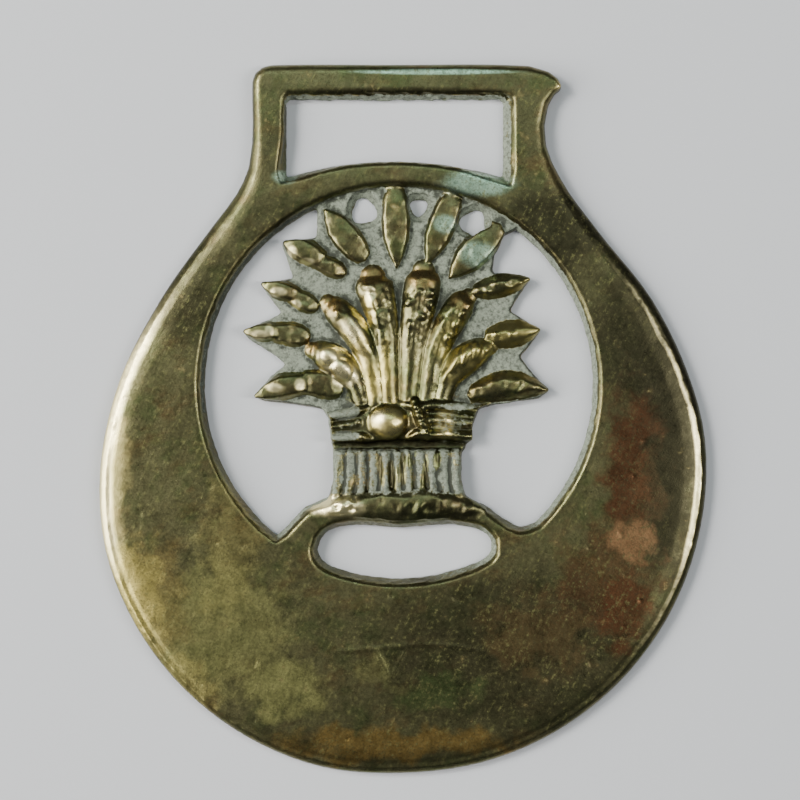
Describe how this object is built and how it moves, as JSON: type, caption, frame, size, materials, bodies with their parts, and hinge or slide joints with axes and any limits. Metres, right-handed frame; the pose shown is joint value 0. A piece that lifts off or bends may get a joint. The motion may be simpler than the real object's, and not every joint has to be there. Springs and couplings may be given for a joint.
{
  "type": "horse brass",
  "caption": "Cast horse brass: a crescent plate with a strap slot above and a wheat sheaf standing in an open round window.",
  "frame": {"origin": "middle of the bounding box, on the flat back face that the brass lies on", "axes": "+X to the right as seen from the front, +Y towards the strap slot, +Z out of the side with the relief"},
  "size_m": [0.0762, 0.089, 0.0036],
  "materials": {
    "brass": "old cast brass, olive with tarnish, worn bright on the rims and the relief, with pale residue in the recesses"
  },
  "bodies": {
    "root": {"horse_brass": "brass"}
  },
  "joints": []
}
